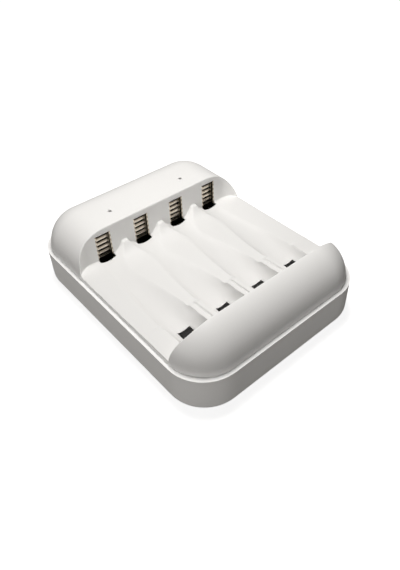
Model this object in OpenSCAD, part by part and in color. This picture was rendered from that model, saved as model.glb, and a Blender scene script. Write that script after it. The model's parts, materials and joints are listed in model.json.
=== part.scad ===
// Charger for four round cells of two sizes, lying side by side in open channels.
// Frame: X to the right along the head, Y towards the head, Z up, origin under the middle of the case.

/* [Cells] */
// Diameter of the large cell
cell_d = 14.5; // [13.5:0.1:15.5]
// Length of the large cell, terminal included
cell_l = 50.5; // [48:0.1:54]
// Length of the small cell, terminal included
small_cell_l = 44.5; // [43:0.1:46]
// Least step between the ends of the two cells, for the contacts
cell_step = 5.2; // [5:0.1:6]
// Space between neighbouring large cells
cell_gap = 0.7; // [0.4:0.1:2]
// Radial play of a large cell in its channel
cell_play = 1.45; // [1:0.05:1.6]

/* [Case] */
// Depth of the head behind the cells
head_d = 27.4; // [25:0.1:32]
// Depth of the front wall in front of the cells
front_d = 11.1; // [10:0.1:14]
// Width of the case outside the channels, each side
side_w = 5.6; // [4.5:0.1:8]
// Height of the base from its underside to the ledge
base_h = 13.8; // [12.5:0.1:18]
// Height of the cover above the ledge
cover_h = 13.1; // [13:0.1:16]
// Plan radius of the base's corners
corner_r = 13.2; // [10:0.1:15]
// Rounding radius of the pillow-shaped cover
dome_r = 12.9; // [11.5:0.1:12.9]
// Width of the ledge around the cover
ledge_w = 1.25; // [0.8:0.05:1.5]
// Rounding radius of the base's lower edge
base_edge_r = 3; // [1.5:0.1:4]

/* [Walls] */
// Wall of the cover
wall = 1.8; // [1.4:0.1:2.2]
// Wall at the two ends of the bay
end_wall = 1.4; // [1.2:0.1:2]
// Wall under the channels
floor_t = 1.5; // [1.2:0.1:2]
// Side wall of the base
base_wall = 2.1; // [1.8:0.1:2.6]
// Bottom wall of the base
bottom_t = 1.8; // [1.5:0.1:2.4]
// Depth of the cover's locating lip inside the base
lip_h = 1.6; // [1:0.1:2.4]
// Thickness of the locating lip
lip_t = 1.1; // [0.8:0.1:1.4]
// Gap between pieces that are laid together
seat_gap = 0.05; // [0.02:0.01:0.1]

/* [Bay] */
// Room along the cell for the contacts
contact_room = 2.6; // [2.2:0.1:4]
// Corner radius of the bay's plan at the head
bay_corner_r = 6.6; // [2:0.1:8]
// Plan radius of the front wall's ends, which sweep back
sweep_r = 17; // [14:0.5:20]
// Distance of that sweep outside the middle of the outer channels
sweep_out = 1.7; // [1.5:0.1:3]
// Height of the channel floor above the ledge, at the head
floor_rise = 0.35; // [0:0.05:1]
// Fall of the channel floor towards the front, in degrees
floor_fall = 3.2; // [2:0.1:3.4]
// Height of the shelf along both open sides, above the ledge
shelf_h = 1.45; // [1:0.05:2.5]
// Height of the ridges at the head wall, above the ledge
peak_h = 4.8; // [4:0.1:6]
// Length of the steep snout of a ridge, from the head wall
snout_l = 4.9; // [4.4:0.1:5.4]
// Height of the foot of the snout, above the ledge
snout_h = 1.35; // [1.2:0.05:1.5]
// Length of the saddle that the ridges fall along, from the head wall
saddle_l = 12.9; // [10:0.1:15]
// Height of the flat facets where the saddle ends, above the ledge
facet_top_h = 0.05; // [0:0.05:0.3]
// Height of the flat facets at their front end, above the ledge
facet_low_h = 0.3; // [0:0.05:0.8]
// Length of the dividers at the front of the ridges, shoulder included
divider_l = 17.1; // [15:0.1:19]
// Height of the dividers above the ledge
divider_h = 2.5; // [2:0.1:3.5]
// Width of the dividers
divider_w = 4; // [3:0.1:4.4]
// Run of the shoulder between a facet and its divider
shoulder_run = 2.2; // [1.4:0.1:3]
// Fall of a divider's top towards its right side, in degrees
divider_fall = 8; // [4:0.5:12]
// Distance of the finger relief's inner edge from the middle of an outer channel
relief_in = 3.6; // [3.4:0.1:4]
// Tilt of the finger relief towards its channel, in degrees
relief_tilt = 15; // [12:0.5:18]
// Radius of the finger relief's rise towards the head
relief_r = 60; // [50:1:80]
// Distance of that rise behind the front of the facets
relief_back = 13.6; // [12:0.1:15]

/* [Contacts] */
// Width of the openings in the head wall
opening_w = 6; // [5:0.1:7]
// Distance from the top of the head to the openings
opening_drop = 2.3; // [1.8:0.1:3]
// Forward reach of the opening into the channel floor
opening_reach = 1.3; // [0.8:0.1:2]
// Sheet thickness of the contacts
sheet_t = 0.4; // [0.3:0.05:0.5]
// Overlap of a contact plate behind each side of its opening
plate_lap = 0.8; // [0.5:0.1:1.2]
// Gap between a contact's flanges and the face of the head wall
flange_back = 0.15; // [0.1:0.05:0.4]
// Distance from the top of the opening to the first slit's middle
slit_drop = 1.4; // [1.2:0.1:1.6]
// Pitch of the slits in a contact plate
slit_pitch = 1.85; // [1.6:0.05:2]
// Height of a slit
slit_h = 0.75; // [0.5:0.05:0.9]
// Width of the solid margin beside the slits
slit_margin = 1.3; // [1.2:0.1:2]
// Number of slits in a contact plate
slit_count = 5; // [4:1:5]
// Width of the floor slots for the springs
slot_w = 4.6; // [4.4:0.1:5.6]
// Play of a spring in its slot, each side
spring_play = 0.25; // [0.2:0.05:0.5]
// Radius of the rolled root of a spring
root_r = 0.6; // [0.5:0.05:0.7]
// Running clearance of a root in its groove
root_clear = 0.05; // [0.03:0.01:0.08]
// Reach of a spring past the end of its cell
spring_press = 0.9; // [0.6:0.1:1.2]

/* [Electronics] */
// Thickness of the circuit board
board_t = 1.6; // [1.2:0.1:2]
// Space under the circuit board
board_lift = 2.6; // [2.2:0.1:3.2]
// Width of the circuit board outside the middle of the outer channels
board_margin = 2.7; // [2.4:0.1:3]
// Width of the power inlet
inlet_w = 8.9; // [8.9:0.1:10]
// Height of the power inlet
inlet_h = 3.2; // [3:0.1:3.6]
// Depth of the power inlet
inlet_l = 7.4; // [6.5:0.1:8]
// Width of the controller chip
chip_w = 7; // [5:0.1:9]
// Height of the controller chip
chip_h = 1; // [0.8:0.1:1.4]
// Diameter of the inductor's flanges
coil_d = 9; // [7:0.1:10]
// Height of the inductor
coil_h = 5; // [4:0.1:6]
// Thickness of the inductor's flanges
coil_flange = 1; // [0.8:0.1:1.4]
// Depth of the inductor's winding space
coil_groove = 1; // [0.6:0.1:1.5]
// Diameter of a capacitor
can_d = 6.3; // [5:0.1:7]
// Height of a capacitor
can_h = 7.4; // [5:0.1:9]
// Distance between the two capacitors
can_pitch = 9; // [8:0.1:10]
// Width of a transistor
switch_w = 4; // [3:0.1:5]
// Height of a transistor
switch_h = 1.5; // [1:0.1:2]
// Width of an indicator lamp
lamp_w = 3; // [2.6:0.1:3.6]
// Height of an indicator lamp, lens included
lamp_h = 1.6; // [1.2:0.1:2]
// Gap between a lamp and its light guide
lamp_gap = 0.2; // [0.1:0.05:0.5]
// Distance of the indicators from the middle
lamp_x = 15.2; // [12:0.1:18]
// Distance of the indicators behind the head wall
lamp_back = 6.6; // [5.5:0.1:9]
// Diameter of the indicator holes
lamp_hole_d = 1.3; // [1:0.1:2]
// Diameter of the light guides
guide_d = 2.6; // [2.2:0.1:3.2]

/* [Fasteners and feet] */
// Diameter of a case screw
screw_d = 2.2; // [1.8:0.1:2.6]
// Diameter of a screw head
screw_head_d = 4; // [3.6:0.1:4.4]
// Height of a screw head
screw_head_h = 1.5; // [1.2:0.1:1.8]
// Length of a case screw under its head
screw_l = 11; // [9:0.5:12]
// Diameter of a screw post
post_d = 5.4; // [5:0.1:6]
// Diameter of a rubber foot
foot_d = 7; // [6:0.1:9]
// Height that a rubber foot stands proud
foot_proud = 0.6; // [0.4:0.1:1.2]
// Depth of a foot's pocket
foot_pocket = 0.7; // [0.5:0.1:0.9]

/* [Hidden] */
$fn = 64;

// Overshoot of cutting solids
cut = 1;
bays = 4;
pitch = cell_d + cell_gap;
span_l = max(cell_l, small_cell_l + cell_step);
bay_l = span_l + contact_room;
case_w = bays * pitch + 2 * side_w;
case_l = head_d + bay_l + front_d;
cover_w = case_w - 2 * ledge_w;
cover_l = case_l - 2 * ledge_w;
rear_y = case_l / 2;
head_y = rear_y - head_d;
front_y = head_y - bay_l;
base_z = foot_proud;
ledge_z = base_z + base_h;
top_z = ledge_z + cover_h;
channel_r = cell_d / 2 + cell_play;
inner_w = case_w - 2 * base_wall;
inner_l = case_l - 2 * base_wall;
inner_r = corner_r - base_wall;

// Ridge outline: a flat facet from the shoulder to the saddle, an arc tangent to it up to the foot of the snout,
// and an arc tangent to that one up to the peak
shoulder_y = front_y + divider_l;
saddle_end = [head_y - saddle_l, facet_top_h];
snout_foot = [head_y - snout_l, snout_h];
peak = [head_y, peak_h];
facet_slope = atan((facet_top_h - facet_low_h) / (saddle_end[0] - shoulder_y));
saddle_r = arc_r(saddle_end, snout_foot, facet_slope);
snout_slope = 2 * rise(saddle_end, snout_foot) - facet_slope;
snout_r = arc_r(snout_foot, peak, snout_slope);
relief_y = shoulder_y + relief_back;

// Circuit board
board_z = base_z + bottom_t + board_lift;
board_top = board_z + board_t;
board_half_w = bay_x(bays - 1) + board_margin;
board_rear = rear_y - base_wall - 2.9;
board_front = front_y + 0.4;
peg_d = 1.6;
peg_hole_d = 1.8;
peg_x = board_half_w - 3;
peg_ys = [head_y - 10, front_y + 15];
supply_back = 16;
chip_ahead = 14;
switch_ahead = 24;
coil_at = [-board_half_w + coil_d - coil_groove, head_y + supply_back];
can_at = [coil_d, head_y + supply_back];
chip_y = head_y - chip_ahead;
switch_y = head_y - switch_ahead;

// Springs
spring_w = slot_w - 2 * spring_play;
carrier_top = floor_z(front_y) - floor_t - 0.35;
root_z = carrier_top - root_r;
plate_y = head_y + end_wall + seat_gap;
large_end_y = plate_y - span_l;
small_end_y = plate_y - small_cell_l;
large_root_y = large_end_y - 1.9;
small_root_y = small_end_y - 3.6;
nose_d = 0.5;
nose_h = 1.2;

// Screw posts and feet, set in from the sides and ends of the case
rear_post_in = [7, 11.8];
front_post_in = [12, 6.3];
foot_in = [8.5, 15, 22];
rear_post = [case_w / 2 - rear_post_in[0], rear_y - rear_post_in[1]];
front_post = [case_w / 2 - front_post_in[0], -rear_y + front_post_in[1]];
post_split_z = base_z + 7.4;
head_seat_z = base_z + 2.8;
foot_x = case_w / 2 - foot_in[0];
foot_ys = [-rear_y + foot_in[1], rear_y - foot_in[2]];
screw_clear = 0.2;
cross_l = screw_d;
cross_w = 0.6;
cross_h = 0.8;

// Power inlet
inlet_z = board_top + inlet_h / 2;
inlet_mouth_y = rear_y - 0.5;

function bay_x(i) = (i - (bays - 1) / 2) * pitch;
// Arcs that leave point a at a slope, rise and end at point b
function rise(a, b) = atan2(b[1] - a[1], b[0] - a[0]);
function arc_r(a, b, slope) = norm(b - a) / (2 * sin(rise(a, b) - slope));
function arc_centre(a, r, slope) = a + r * [-sin(slope), cos(slope)];
function floor_z(y) = ledge_z + floor_rise - (head_y - y) * tan(floor_fall);

// Outline of a bent strip: each bend's point moved half a thickness to both sides along its mitre
function unit(v) = v / norm(v);
function turned(v) = [-v[1], v[0]];
function mitre(p, i) =
    let (
        a = i > 0 ? unit(p[i] - p[i - 1]) : unit(p[1] - p[0]),
        b = i < len(p) - 1 ? unit(p[i + 1] - p[i]) : a,
        n = unit(turned(a) + turned(b))
    ) n / (n * turned(a));
function strip(p, t) = concat(
    [for (i = [0 : len(p) - 1]) p[i] + mitre(p, i) * t / 2],
    [for (i = [len(p) - 1 : -1 : 0]) p[i] - mitre(p, i) * t / 2]
);

// Rectangle with round corners, centred
module round_plan(w, l, r) {
    square([w - 2 * r, l], center = true);
    square([w, l - 2 * r], center = true);
    for (x = [-1, 1], y = [-1, 1])
        translate([x * (w / 2 - r), y * (l / 2 - r)]) circle(r);
}

// Outline in the YZ plane drawn out along X, centred on x
module along_x(x, w) {
    translate([x - w / 2, 0, 0]) rotate([90, 0, 90]) linear_extrude(w) children();
}

// Block of height h with round upright corners of radius r, whose edge profile is the child
module edged_block(w, l, h, r) {
    a = w / 2 - r;
    b = l / 2 - r;
    translate([-a, -b, 0]) cube([2 * a, 2 * b, h]);
    for (s = [0, 180]) rotate(s) {
        translate([a, b, 0]) rotate([90, 0, 0]) linear_extrude(2 * b) children();
        translate([-a, b, 0]) rotate([90, 0, 90]) linear_extrude(2 * a) children();
        translate([a, b, 0]) rotate_extrude(angle = 90) children();
        translate([-a, b, 0]) rotate(90) rotate_extrude(angle = 90) children();
    }
}

// Pillow: one radius for the upper edges and the upright corners, over a short skirt
module pillow(w, l, h, r) {
    edged_block(w, l, h, r) intersection() {
        union() {
            translate([0, h - r]) circle(r);
            square([r, h - r]);
        }
        square([r, h]);
    }
}

// Block with round upright corners of radius r and a lower edge rounded by e
module tub_block(w, l, h, r, e) {
    edged_block(w, l, h, r) union() {
        square([r - e, h]);
        translate([0, e]) square([r, h - e]);
        translate([r - e, e]) circle(e);
    }
}

module mirrored_x() {
    children();
    mirror([1, 0, 0]) children();
}

module at_screws() {
    mirrored_x() {
        translate(rear_post) children();
        translate(front_post) children();
    }
}

// Inclined cylinder along the floor of channel i
module channel(i, r) {
    translate([bay_x(i), head_y, floor_z(head_y) + channel_r])
        rotate([90 + floor_fall, 0, 0])
            translate([0, 0, -2 * wall]) cylinder(r = r, h = bay_l + 4 * wall);
}

// Plan of the bay, larger all round by grow: round corners at the head, ends of the front wall swept back
module bay_plan(grow) {
    half_w = (cover_w + ledge_w) / 2 + grow;
    head_r = bay_corner_r + grow;
    low_y = front_y - grow;
    high_y = head_y + grow;
    sweep_x = bay_x(bays - 1) + sweep_out;
    sweep_y = front_y + sweep_r;
    intersection() {
        translate([-half_w, low_y]) square([2 * half_w, high_y - low_y]);
        union() {
            translate([-sweep_x, low_y]) square([2 * sweep_x, high_y - head_r - low_y]);
            translate([-half_w, sweep_y]) square([2 * half_w, high_y - head_r - sweep_y]);
            translate([head_r - half_w, sweep_y]) square([2 * (half_w - head_r), high_y - sweep_y]);
            for (s = [-1, 1]) {
                translate([s * sweep_x, sweep_y]) circle(sweep_r + grow, $fn = 200);
                translate([s * (half_w - head_r), high_y - head_r]) circle(head_r);
            }
        }
    }
}

// Region above the ridges, in the YZ plane, lowered by drop
module ridge_air(drop) {
    translate([0, ledge_z - drop]) {
        arc_air(saddle_end, saddle_r, facet_slope, snout_foot[0]);
        arc_air(snout_foot, snout_r, snout_slope, head_y + 2 * wall);
        polygon([
            saddle_end,
            [shoulder_y, facet_low_h],
            [shoulder_y - shoulder_run, divider_h],
            [front_y - 2 * wall, divider_h],
            [front_y - 2 * wall, cover_h + drop + cut],
            [saddle_end[0], cover_h + drop + cut]
        ]);
    }
}

// Region above an arc that leaves point a at a slope, as far as y
module arc_air(a, r, slope, y) {
    intersection() {
        translate(arc_centre(a, r, slope)) circle(r, $fn = 200);
        translate([a[0] - cut, -cut]) square([y - a[0] + cut, 2 * top_z]);
    }
}

// Region above the finger relief beside an outer channel, in the YZ plane, measured from the relief's inner edge
module relief_air() {
    front = shoulder_y - shoulder_run / 2;
    translate([relief_y, relief_r]) circle(relief_r, $fn = 200);
    polygon([
        [relief_y, 0],
        [front, 0],
        [front - 2 * shoulder_run, 2 * shelf_h],
        [front - 2 * shoulder_run, cover_h],
        [relief_y, cover_h]
    ]);
}

// Open space of the bay: channels, the air above the ridges and above the two side shelves
module bay_air(drop) {
    inner_half = bay_x(bays - 1);
    pocket_w = pitch - divider_w + 2 * drop;
    for (i = [0 : bays - 1]) intersection() {
        channel(i, channel_r + drop);
        translate([bay_x(i), shoulder_y, 0]) linear_extrude(2 * top_z) {
            translate([-pitch / 2, 0]) square([pitch, bay_l]);
            translate([-pocket_w / 2, -divider_l - wall]) square([pocket_w, bay_l]);
        }
    }
    along_x(0, 2 * inner_half) ridge_air(drop);
    mirrored_x() translate([inner_half, front_y - 2 * wall, ledge_z + shelf_h - drop])
        cube([case_w, bay_l + 4 * wall, cover_h]);
    mirrored_x() translate([inner_half + relief_in, 0, ledge_z - drop]) rotate([0, -relief_tilt, 0])
        along_x(side_w, 2 * side_w) relief_air();
}

module bay_void() {
    intersection() {
        translate([0, 0, base_z]) linear_extrude(2 * top_z) bay_plan(0);
        union() {
            bay_air(0);
            for (i = [1 : bays - 1])
                translate([bay_x(i) - pitch / 2, front_y - wall, ledge_z + divider_h]) rotate([0, divider_fall, 0])
                    cube([divider_w, divider_l + wall, divider_h]);
        }
    }
}

// Walls at both ends of the bay and the moulded floor between them
module bay_liner() {
    intersection() {
        translate([0, 0, ledge_z - base_h / 2]) linear_extrude(base_h / 2 + cover_h) bay_plan(end_wall);
        cover_limits();
        union() {
            bay_air(floor_t);
            translate([0, 0, floor_z(front_y) - floor_t]) linear_extrude(top_z) difference() {
                bay_plan(end_wall);
                bay_plan(0);
            }
        }
    }
}

// Everything of the cover lies in the pillow, or below the ledge inside the base
module cover_limits() {
    translate([0, 0, ledge_z]) pillow(cover_w, cover_l, cover_h, dome_r);
    translate([0, 0, base_z]) linear_extrude(base_h)
        round_plan(inner_w - 2 * seat_gap, inner_l - 2 * seat_gap, inner_r - seat_gap);
}

module cover_shell() {
    difference() {
        translate([0, 0, ledge_z]) pillow(cover_w, cover_l, cover_h, dome_r);
        translate([0, 0, ledge_z - wall])
            pillow(cover_w - 2 * wall, cover_l - 2 * wall, cover_h, dome_r - wall);
    }
    translate([0, 0, ledge_z - lip_h]) linear_extrude(lip_h + wall / 2) difference() {
        round_plan(inner_w - 2 * seat_gap, inner_l - 2 * seat_gap, inner_r - seat_gap);
        round_plan(inner_w - 2 * lip_t, inner_l - 2 * lip_t, inner_r - lip_t);
    }
}

// Posts for the case screws, sleeves for the light guides and rails for the contact plates
module cover_fittings() {
    intersection() {
        cover_limits();
        union() {
            at_screws() translate([0, 0, post_split_z + seat_gap]) cylinder(d = post_d, h = top_z);
            mirrored_x() translate([lamp_x, head_y + lamp_back, ledge_z + cover_h / 2])
                cylinder(d = guide_d + 2 * wall, h = top_z);
            for (i = [0 : bays - 1], s = [-1, 1])
                translate([bay_x(i) + s * (plate_w() / 2 + seat_gap + wall / 4) - wall / 4, head_y + end_wall / 2,
                    ledge_z])
                    cube([wall / 2, end_wall / 2 + 2 * wall / 2, cover_h]);
        }
    }
}

function plate_w() = opening_w + 2 * plate_lap;
function opening_top() = top_z - opening_drop;
function plate_top() = opening_top() + plate_lap;

module top_cover() {
    color("white") difference() {
        union() {
            cover_shell();
            bay_liner();
            cover_fittings();
        }
        bay_void();
        for (i = [0 : bays - 1]) {
            translate([bay_x(i) - opening_w / 2, head_y - opening_reach, ledge_z - cover_h / 2])
                cube([opening_w, opening_reach + 2 * end_wall, opening_top() - ledge_z + cover_h / 2]);
            translate([bay_x(i) - plate_w() / 2 - seat_gap, plate_y - seat_gap, ledge_z])
                cube([plate_w() + 2 * seat_gap, sheet_t + 2 * seat_gap, plate_top() + seat_gap - ledge_z]);
            translate([bay_x(i) - slot_w / 2, front_y + wall / 2, base_z])
                cube([slot_w, small_end_y - front_y + 0.6, base_h]);
        }
        mirrored_x() translate([lamp_x, head_y + lamp_back, 0]) {
            cylinder(d = lamp_hole_d, h = top_z + cut);
            cylinder(d = guide_d + 2 * seat_gap, h = top_z - wall);
        }
        at_screws() cylinder(d = screw_d + 2 * seat_gap, h = head_seat_z + screw_l + cut);
    }
}

module base_tub() {
    color("white") difference() {
        union() {
            difference() {
                translate([0, 0, base_z]) tub_block(case_w, case_l, base_h, corner_r, base_edge_r);
                translate([0, 0, base_z + bottom_t])
                    tub_block(inner_w, inner_l, base_h, inner_r, base_edge_r - bottom_t / 2);
            }
            at_screws() translate([0, 0, base_z + bottom_t / 2])
                cylinder(d = post_d, h = post_split_z - base_z - bottom_t / 2);
            mirrored_x() for (y = peg_ys) translate([peg_x, y, base_z + bottom_t / 2]) {
                cylinder(d = 2 * peg_hole_d, h = board_z - base_z - bottom_t / 2);
                cylinder(d = peg_d, h = board_top + peg_d / 2 - base_z - bottom_t / 2);
            }
        }
        at_screws() {
            cylinder(d = screw_head_d + 2 * screw_clear, h = head_seat_z);
            cylinder(d = screw_d + 2 * screw_clear, h = ledge_z);
        }
        mirrored_x() for (y = foot_ys) translate([foot_x, y, 0])
            cylinder(d = foot_d + 2 * seat_gap, h = base_z + foot_pocket);
        translate([0, rear_y + cut, inlet_z]) rotate([90, 0, 0])
            linear_extrude(base_wall + 2 * cut) stadium(inlet_w + 0.6, inlet_h + 0.6);
    }
}

module stadium(w, h) {
    square([w - h, h], center = true);
    for (s = [-1, 1]) translate([s * (w - h) / 2, 0]) circle(d = h);
}

module main_board() {
    color("darkgreen") difference() {
        translate([-board_half_w, board_front, board_z])
            cube([2 * board_half_w, board_rear - board_front, board_t]);
        mirrored_x() for (y = peg_ys) translate([peg_x, y, 0]) cylinder(d = peg_hole_d, h = top_z);
    }
}

// Bar on the board with one open groove for each spring root
module spring_carrier() {
    bar_front = large_root_y - 2 * root_r;
    bar_rear = small_root_y + 2 * root_r;
    color("dimgray") difference() {
        translate([-board_half_w, bar_front, board_top])
            cube([2 * board_half_w, bar_rear - bar_front, carrier_top - board_top]);
        for (i = [0 : bays - 1], y = [large_root_y, small_root_y])
            along_x(bay_x(i), slot_w) translate([y, root_z]) {
                circle(root_r + root_clear);
                translate([-root_r * 0.8, 0]) square([root_r * 1.6, 2 * root_r]);
            }
    }
}

module contact_plate(i) {
    w = plate_w();
    low_z = opening_top() - slit_drop - slit_count * slit_pitch + slit_h / 2;
    tail_w = w / 3;
    flange_l = end_wall - flange_back + seat_gap + sheet_t / 2;
    color("silver") translate([bay_x(i), plate_y + sheet_t, 0]) rotate([90, 0, 0]) {
        linear_extrude(sheet_t) difference() {
            union() {
                translate([-w / 2, low_z]) square([w, plate_top() - low_z]);
                translate([-tail_w / 2, board_top]) square([tail_w, low_z + slit_pitch - board_top]);
                translate([0, low_z]) intersection() {
                    circle(w / 2);
                    translate([-w / 2, -slit_pitch]) square([w, slit_pitch]);
                }
            }
            for (k = [1 : slit_count])
                translate([0, opening_top() - slit_drop - (k - 1) * slit_pitch])
                    square([w - 2 * slit_margin, slit_h], center = true);
        }
        mirrored_x() translate([opening_w / 2 - seat_gap - sheet_t, low_z, sheet_t / 2])
            cube([sheet_t, opening_top() - seat_gap - low_z, flange_l]);
    }
}

// Leaf of bent sheet whose rolled root turns in the carrier
module spring(i, root_y, bends) {
    color("silver") {
        along_x(bay_x(i), spring_w) polygon(strip(concat([[root_y, root_z]], bends), sheet_t));
        along_x(bay_x(i), spring_w) translate([root_y, root_z]) circle(root_r);
    }
}

module large_spring(i) {
    apex_z = ledge_z + cell_d * 0.27;
    nose_y = large_end_y + spring_press;
    spring(i, large_root_y, [
        [large_root_y + 0.3, floor_z(front_y)],
        [nose_y - nose_d, apex_z - nose_h],
        [nose_y, apex_z],
        [nose_y - nose_d, apex_z + nose_h],
        [nose_y - 2 * nose_d, apex_z + nose_h + nose_d]
    ]);
}

module small_spring(i) {
    low_z = floor_z(small_end_y);
    spring(i, small_root_y, [
        [small_root_y + 0.4, low_z - 0.5],
        [small_end_y + spring_press - 1, low_z + 0.7],
        [small_end_y + spring_press - 0.2, low_z + 0.6],
        [small_end_y + spring_press, low_z]
    ]);
}

module inlet_shell() {
    color("silver") translate([0, inlet_mouth_y, inlet_z]) rotate([90, 0, 0]) difference() {
        linear_extrude(inlet_l) stadium(inlet_w, inlet_h);
        translate([0, 0, -cut]) linear_extrude(inlet_l - sheet_t + cut)
            stadium(inlet_w - 2 * sheet_t, inlet_h - 2 * sheet_t);
    }
}

module inlet_tongue() {
    block_l = inlet_l / 3;
    color("black") translate([0, inlet_mouth_y - inlet_l + sheet_t + seat_gap, inlet_z]) rotate([-90, 0, 0]) {
        linear_extrude(block_l) stadium(inlet_w - 2 * sheet_t - 2 * seat_gap, inlet_h - 2 * sheet_t - 2 * seat_gap);
        translate([-inlet_w * 0.36, -inlet_h * 0.11, 0])
            cube([inlet_w * 0.72, inlet_h * 0.22, inlet_l - 2 * sheet_t - 0.6]);
    }
}

module controller_chip() {
    color("black") translate([-chip_w / 2, chip_y, board_top]) cube([chip_w, chip_w, chip_h]);
}

module inductor() {
    color("dimgray") translate([coil_at[0], coil_at[1], board_top]) difference() {
        cylinder(d = coil_d, h = coil_h);
        translate([0, 0, coil_flange]) difference() {
            cylinder(d = coil_d + cut, h = coil_h - 2 * coil_flange);
            cylinder(d = coil_d - 2 * coil_groove, h = coil_h);
        }
    }
}

module capacitors() {
    foot_lip = 0.15;
    color("slategray") for (k = [0, 1]) translate([can_at[0] + k * can_pitch, can_at[1], board_top]) {
        cylinder(d = can_d, h = can_h);
        cylinder(d = can_d + 2 * foot_lip, h = board_t / 2);
    }
}

module transistors() {
    color("black") for (i = [0 : bays - 1])
        translate([bay_x(i) - switch_w / 2, switch_y, board_top]) cube([switch_w, switch_w, switch_h]);
}

module lamp(x) {
    color("lightyellow") translate([x, head_y + lamp_back, board_top]) {
        translate([-lamp_w / 2, -lamp_w / 2, 0]) cube([lamp_w, lamp_w, lamp_h / 2]);
        cylinder(d = lamp_w * 0.75, h = lamp_h);
    }
}

module light_guide(x) {
    low_z = board_top + lamp_h + lamp_gap;
    color("lightcyan") translate([x, head_y + lamp_back, low_z])
        cylinder(d = guide_d, h = top_z - wall - seat_gap - low_z);
}

module case_screws() {
    color("gray") at_screws() translate([0, 0, head_seat_z]) {
        translate([0, 0, -screw_head_h]) difference() {
            cylinder(d = screw_head_d, h = screw_head_h);
            for (a = [0, 90]) rotate(a) translate([-cross_l / 2, -cross_w / 2, -cut])
                cube([cross_l, cross_w, cut + cross_h]);
        }
        cylinder(d = screw_d, h = screw_l);
    }
}

module rubber_feet() {
    color("dimgray") mirrored_x() for (y = foot_ys) translate([foot_x, y, 0])
        cylinder(d = foot_d, h = foot_proud + foot_pocket);
}

base_tub();
top_cover();
main_board();
spring_carrier();
contact_plate(0);  // contact_plate_1
contact_plate(1);  // contact_plate_2
contact_plate(2);  // contact_plate_3
contact_plate(3);  // contact_plate_4
large_spring(0);  // large_spring_1
large_spring(1);  // large_spring_2
large_spring(2);  // large_spring_3
large_spring(3);  // large_spring_4
small_spring(0);  // small_spring_1
small_spring(1);  // small_spring_2
small_spring(2);  // small_spring_3
small_spring(3);  // small_spring_4
inlet_shell();
inlet_tongue();
controller_chip();
inductor();
capacitors();
transistors();
lamp(-lamp_x);  // lamp_left
lamp(lamp_x);  // lamp_right
light_guide(-lamp_x);  // light_guide_left
light_guide(lamp_x);  // light_guide_right
case_screws();
rubber_feet();
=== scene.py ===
"""Looks of a white charger for four round cells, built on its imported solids."""

import json
import logging
import math
from dataclasses import dataclass, field
from enum import Enum
from typing import Any, Sequence, Union

import bpy
import numpy as np
from mathutils import Matrix, Vector


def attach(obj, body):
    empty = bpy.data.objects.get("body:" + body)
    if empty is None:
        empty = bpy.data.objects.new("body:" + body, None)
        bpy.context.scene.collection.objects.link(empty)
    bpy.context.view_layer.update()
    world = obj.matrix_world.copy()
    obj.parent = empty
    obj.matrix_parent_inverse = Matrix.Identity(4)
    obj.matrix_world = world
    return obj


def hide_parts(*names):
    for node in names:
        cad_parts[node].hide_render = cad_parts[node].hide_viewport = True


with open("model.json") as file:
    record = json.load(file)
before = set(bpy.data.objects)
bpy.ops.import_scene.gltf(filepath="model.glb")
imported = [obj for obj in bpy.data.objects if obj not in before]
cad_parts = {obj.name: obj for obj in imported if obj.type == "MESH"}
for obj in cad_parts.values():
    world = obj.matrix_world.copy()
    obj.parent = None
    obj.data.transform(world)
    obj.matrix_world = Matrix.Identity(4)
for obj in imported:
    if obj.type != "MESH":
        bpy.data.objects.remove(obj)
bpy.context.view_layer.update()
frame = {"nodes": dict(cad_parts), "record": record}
log = logging.getLogger("charger")
# metres in a millimetre
MM = 0.001
# least length that is divided by, and slack of a comparison
TINY = 1e-6
# points closer than about this, in millimetres, become one
MERGE_MM = 0.002
# decimals of a millimetre to which columns are rounded
PLACES = 4
Colour = tuple[float, float, float]
Place = tuple[float, float, float]


class Op(Enum):
    """Operations of the Math and Vector Math nodes."""

    ADD = "ADD"
    SUBTRACT = "SUBTRACT"
    MULTIPLY = "MULTIPLY"
    DIVIDE = "DIVIDE"
    POWER = "POWER"
    GREATER = "GREATER_THAN"
    LESS = "LESS_THAN"
    GREATEST = "MAXIMUM"
    FRACTION = "FRACT"
    LENGTH = "LENGTH"
    DOT = "DOT_PRODUCT"


class Row(Enum):
    """Rows of the cover's section at which holes begin, end or lie."""

    SLOT = "first row of the floor slots"
    SLOT_END = "last row of the floor slots"
    OPENING = "first row of the contact openings"
    OPENING_END = "last row of the contact openings"
    LAMP = "middle row of the indicator holes"


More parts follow.
